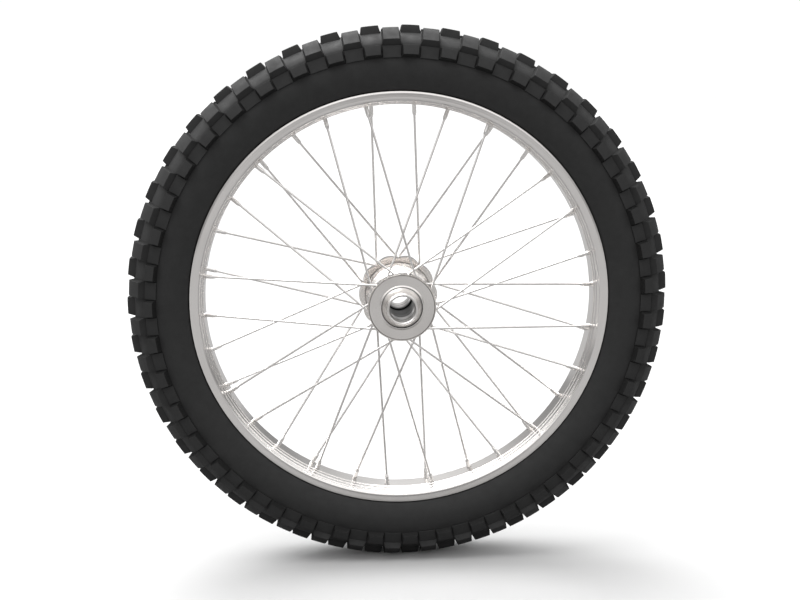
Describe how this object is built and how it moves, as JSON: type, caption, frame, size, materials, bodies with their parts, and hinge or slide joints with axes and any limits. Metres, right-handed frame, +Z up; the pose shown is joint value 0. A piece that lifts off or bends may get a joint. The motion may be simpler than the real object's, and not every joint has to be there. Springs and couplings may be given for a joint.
{
  "type": "spoked motorcycle wheel",
  "caption": "Spoked off-road motorcycle front wheel: knobbly tyre on an aluminium rim, straight-pull wire spokes and a turned hub that spins on sealed ball bearings round a hollow sleeve.",
  "frame": {"origin": "centre of the wheel, on the spin axis, midway between the rim flanges", "axes": "+Y along the axle towards the brake-disc side; -Y towards the narrow disc flange; +Z up; +X to the right seen from -Y"},
  "size_m": [0.7283, 0.1275, 0.7286],
  "materials": {
    "tyre": "matt moulded rubber",
    "foam": "closed-cell foam",
    "strip": "matt",
    "rim_alloy": "satin, drawn round the rim",
    "spoke_steel": "drawn and plated",
    "nipple_steel": "plated",
    "hub_alloy": "fine turned",
    "bearing_steel": "ground",
    "cage_brass": "pressed",
    "seal_rubber": "smooth",
    "collar_alloy": "turned"
  },
  "bodies": {
    "axle_sleeve": {"distance_tube": "collar_alloy", "near_bearing_inner_race": "bearing_steel", "far_bearing_inner_race": "bearing_steel", "near_axle_collar": "collar_alloy", "far_axle_collar": "collar_alloy", "near_collar_o_ring": "seal_rubber", "far_collar_o_ring": "seal_rubber"},
    "wheel": {"tyre": "tyre", "foam_insert": "foam", "rim_strip": "strip", "rim": "rim_alloy", "near_leading_spokes": "spoke_steel", "near_trailing_spokes": "spoke_steel", "far_leading_spokes": "spoke_steel", "far_trailing_spokes": "spoke_steel", "near_leading_nipples": "nipple_steel", "near_trailing_nipples": "nipple_steel", "far_leading_nipples": "nipple_steel", "far_trailing_nipples": "nipple_steel", "hub_shell": "hub_alloy", "near_bearing_outer_race": "bearing_steel", "far_bearing_outer_race": "bearing_steel", "near_bearing_shields": "seal_rubber", "far_bearing_shields": "seal_rubber", "near_oil_seal": "seal_rubber", "far_oil_seal": "seal_rubber", "bearing_circlip": "bearing_steel"},
    "near_ball_set": {"near_bearing_balls": "bearing_steel", "near_bearing_cage": "cage_brass"},
    "far_ball_set": {"far_bearing_balls": "bearing_steel", "far_bearing_cage": "cage_brass"}
  },
  "joints": [
    {"name": "wheel_spin", "type": "hinge", "parent": "axle_sleeve", "child": "wheel", "pos_m": [0, 0, 0], "axis": [0, 1, 0], "continuous": true},
    {"name": "near_balls_roll", "type": "hinge", "parent": "axle_sleeve", "child": "near_ball_set", "pos_m": [0, -0.033, 0], "axis": [0, 1, 0], "continuous": true},
    {"name": "far_balls_roll", "type": "hinge", "parent": "axle_sleeve", "child": "far_ball_set", "pos_m": [0, 0.037, 0], "axis": [0, 1, 0], "continuous": true}
  ],
  "couplings": [
    {"joint": "near_balls_roll", "follows": "wheel_spin", "ratio": 0.5644},
    {"joint": "far_balls_roll", "follows": "wheel_spin", "ratio": 0.5644}
  ]
}
